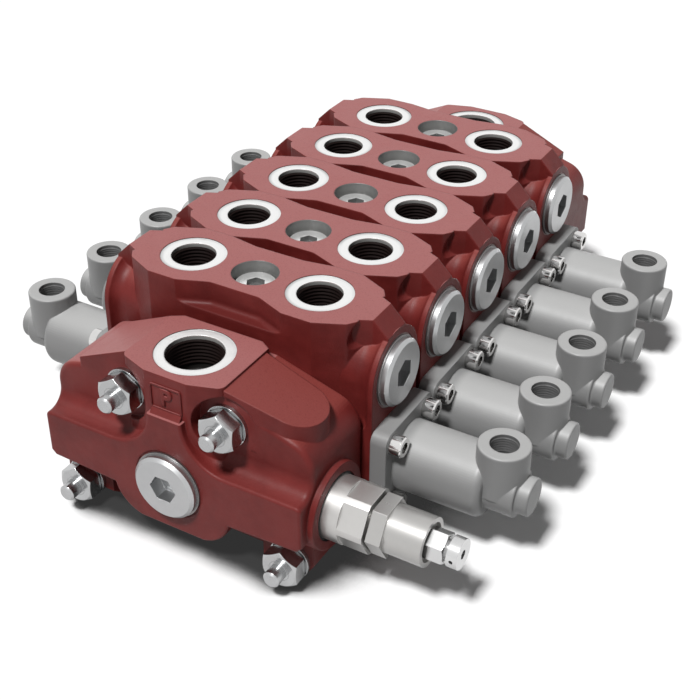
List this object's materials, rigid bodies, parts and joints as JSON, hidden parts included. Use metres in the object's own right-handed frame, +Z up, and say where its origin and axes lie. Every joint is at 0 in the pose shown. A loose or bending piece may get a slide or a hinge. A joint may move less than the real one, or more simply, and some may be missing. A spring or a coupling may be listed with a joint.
{
  "type": "directional control valve",
  "caption": "Sectional hydraulic directional control valve with piloted spools, service ports on top, an inlet section with a relief valve and an outlet section.",
  "frame": {"origin": "centre of the four mounting holes, on the foot plane", "axes": "+X along the spools towards the relief valve's side, +Y along the stack from inlet to outlet, +Z up"},
  "size_m": [0.2848, 0.344, 0.108],
  "materials": {
    "casting_red": "painted satin",
    "casting_grey": "painted satin",
    "zinc_steel": "zinc plated",
    "nickel_steel": "nickel plated",
    "ground_steel": "ground",
    "spring_steel": "oiled",
    "aluminium_ring": "satin",
    "seal_rubber": "matt"
  },
  "bodies": {
    "stack": {"inlet_section": "casting_red", "outlet_section": "casting_red", "section_1": "casting_red", "section_2": "casting_red", "section_3": "casting_red", "section_4": "casting_red", "section_5": "casting_red", "pilot_cap_right_1": "casting_grey", "pilot_cap_right_2": "casting_grey", "pilot_cap_right_3": "casting_grey", "pilot_cap_right_4": "casting_grey", "pilot_cap_right_5": "casting_grey", "pilot_cap_left_1": "casting_grey", "pilot_cap_left_2": "casting_grey", "pilot_cap_left_3": "casting_grey", "pilot_cap_left_4": "casting_grey", "pilot_cap_left_5": "casting_grey", "side_plugs": "zinc_steel", "end_plugs": "zinc_steel", "tie_rods": "zinc_steel", "tie_rod_washers": "zinc_steel", "tie_rod_nuts": "zinc_steel", "relief_lock_nut": "zinc_steel", "relief_adjuster": "zinc_steel", "check_plugs": "zinc_steel", "cap_screws": "zinc_steel", "relief_body": "nickel_steel", "relief_sleeve": "nickel_steel", "relief_spring_seat": "ground_steel", "centring_springs_1": "spring_steel", "centring_springs_2": "spring_steel", "centring_springs_3": "spring_steel", "centring_springs_4": "spring_steel", "centring_springs_5": "spring_steel", "check_spring_1": "spring_steel", "check_spring_2": "spring_steel", "check_spring_3": "spring_steel", "check_spring_4": "spring_steel", "check_spring_5": "spring_steel", "relief_spring": "spring_steel", "plug_rings": "aluminium_ring", "cap_seals": "seal_rubber", "section_seals": "seal_rubber", "relief_ring": "seal_rubber"},
    "spool_1": {"spool_1": "ground_steel", "spring_seats_1": "ground_steel"},
    "check_1": {"check_poppet_1": "ground_steel"},
    "spool_2": {"spool_2": "ground_steel", "spring_seats_2": "ground_steel"},
    "check_2": {"check_poppet_2": "ground_steel"},
    "spool_3": {"spool_3": "ground_steel", "spring_seats_3": "ground_steel"},
    "check_3": {"check_poppet_3": "ground_steel"},
    "spool_4": {"spool_4": "ground_steel", "spring_seats_4": "ground_steel"},
    "check_4": {"check_poppet_4": "ground_steel"},
    "spool_5": {"spool_5": "ground_steel", "spring_seats_5": "ground_steel"},
    "check_5": {"check_poppet_5": "ground_steel"},
    "relief_poppet": {"relief_poppet": "ground_steel"}
  },
  "joints": [
    {"name": "spool_1_slide", "type": "slide", "parent": "stack", "child": "spool_1", "axis": [1, 0, 0], "range_m": [-0.007, 0.007], "stiffness_N_per_m": 8000, "deforming": ["centring_springs_1"]},
    {"name": "check_1_lift", "type": "slide", "parent": "stack", "child": "check_1", "axis": [0, 0, 1], "range_m": [0, 0.004], "stiffness_N_per_m": 1500, "deforming": ["check_spring_1"]},
    {"name": "spool_2_slide", "type": "slide", "parent": "stack", "child": "spool_2", "axis": [1, 0, 0], "range_m": [-0.007, 0.007], "stiffness_N_per_m": 8000, "deforming": ["centring_springs_2"]},
    {"name": "check_2_lift", "type": "slide", "parent": "stack", "child": "check_2", "axis": [0, 0, 1], "range_m": [0, 0.004], "stiffness_N_per_m": 1500, "deforming": ["check_spring_2"]},
    {"name": "spool_3_slide", "type": "slide", "parent": "stack", "child": "spool_3", "axis": [1, 0, 0], "range_m": [-0.007, 0.007], "stiffness_N_per_m": 8000, "deforming": ["centring_springs_3"]},
    {"name": "check_3_lift", "type": "slide", "parent": "stack", "child": "check_3", "axis": [0, 0, 1], "range_m": [0, 0.004], "stiffness_N_per_m": 1500, "deforming": ["check_spring_3"]},
    {"name": "spool_4_slide", "type": "slide", "parent": "stack", "child": "spool_4", "axis": [1, 0, 0], "range_m": [-0.007, 0.007], "stiffness_N_per_m": 8000, "deforming": ["centring_springs_4"]},
    {"name": "check_4_lift", "type": "slide", "parent": "stack", "child": "check_4", "axis": [0, 0, 1], "range_m": [0, 0.004], "stiffness_N_per_m": 1500, "deforming": ["check_spring_4"]},
    {"name": "spool_5_slide", "type": "slide", "parent": "stack", "child": "spool_5", "axis": [1, 0, 0], "range_m": [-0.007, 0.007], "stiffness_N_per_m": 8000, "deforming": ["centring_springs_5"]},
    {"name": "check_5_lift", "type": "slide", "parent": "stack", "child": "check_5", "axis": [0, 0, 1], "range_m": [0, 0.004], "stiffness_N_per_m": 1500, "deforming": ["check_spring_5"]},
    {"name": "relief_lift", "type": "slide", "parent": "stack", "child": "relief_poppet", "axis": [1, 0, 0], "range_m": [0, 0.003], "stiffness_N_per_m": 20000, "deforming": ["relief_spring"]}
  ]
}
